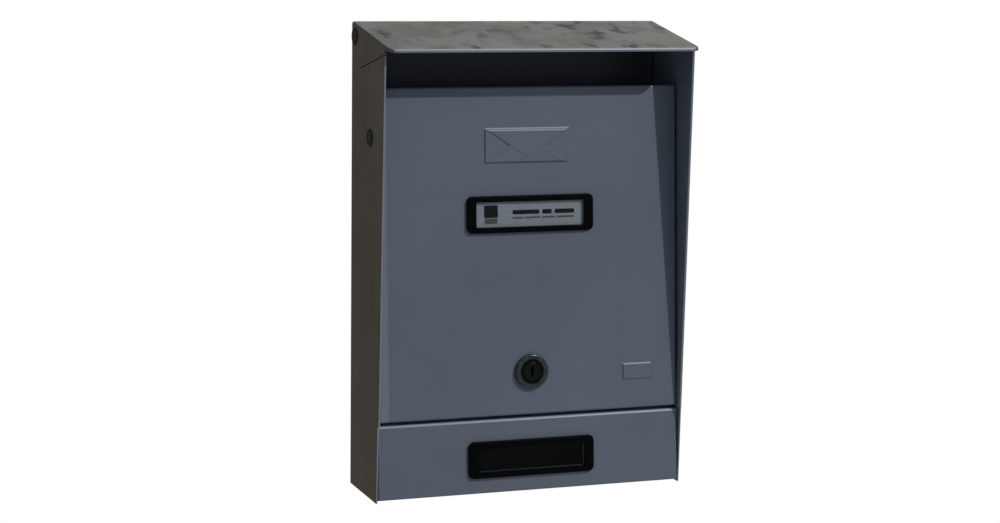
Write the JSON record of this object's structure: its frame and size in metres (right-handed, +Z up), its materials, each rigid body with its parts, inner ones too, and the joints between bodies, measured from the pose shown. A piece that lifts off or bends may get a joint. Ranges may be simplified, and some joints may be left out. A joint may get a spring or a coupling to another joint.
{
  "type": "wall mounted letterbox",
  "caption": "Sheet steel letterbox hung on a wall by its back: sloping roof, letter mouth, top-pivoted locking door with a name holder, and a fixed lower front with a window.",
  "frame": {"origin": "middle of the back panel's rear face, which lies on the wall", "axes": "+Z up, -Y out of the wall towards the person at the box, +X to that person's right"},
  "size_m": [0.2132, 0.0753, 0.3],
  "materials": {
    "casing_paint": "semi-gloss stoved paint, blue-grey",
    "back_paint": "semi-gloss stoved paint, blue-grey",
    "pan_paint": "semi-gloss stoved paint, blue-grey",
    "door_paint": "semi-gloss stoved paint, blue-grey",
    "pin_plastic": "moulded, dark grey",
    "black_plastic": "moulded, black, semi-gloss",
    "clear_plastic": "clear, polished",
    "card": "printed card, silver-grey",
    "dark_chrome": "dark plated zinc casting",
    "zinc": "zinc-plated steel",
    "brass": "stamped brass"
  },
  "bodies": {
    "box": {"casing": "casing_paint", "back_panel": "back_paint", "base_pan": "pan_paint", "hinge_pin_left": "pin_plastic", "hinge_pin_right": "pin_plastic", "back_pin_left": "pin_plastic", "back_pin_right": "pin_plastic", "window_bezel": "black_plastic", "window_pane": "clear_plastic", "window_retainer": "black_plastic"},
    "door": {"door": "door_paint", "name_bezel": "black_plastic", "name_window": "clear_plastic", "name_card": "card", "name_retainer": "black_plastic", "lock_housing": "dark_chrome", "lock_nut": "zinc"},
    "plug": {"lock_plug": "dark_chrome", "lock_wafer_1": "brass", "lock_wafer_2": "brass", "lock_wafer_3": "brass", "lock_wafer_4": "brass", "stop_washer": "zinc", "lock_cam": "zinc", "cam_washer": "zinc", "cam_screw": "zinc"}
  },
  "joints": [
    {"name": "door_hinge", "type": "hinge", "parent": "box", "child": "door", "pos_m": [0, -0.03846, 0.079], "axis": [-1, 0, 0], "range_deg": [0, 110]},
    {"name": "lock_turn", "type": "hinge", "parent": "door", "child": "plug", "pos_m": [0, -0.05235, -0.07241], "axis": [0, 0.9982, -0.0599], "range_deg": [0, 90]}
  ]
}
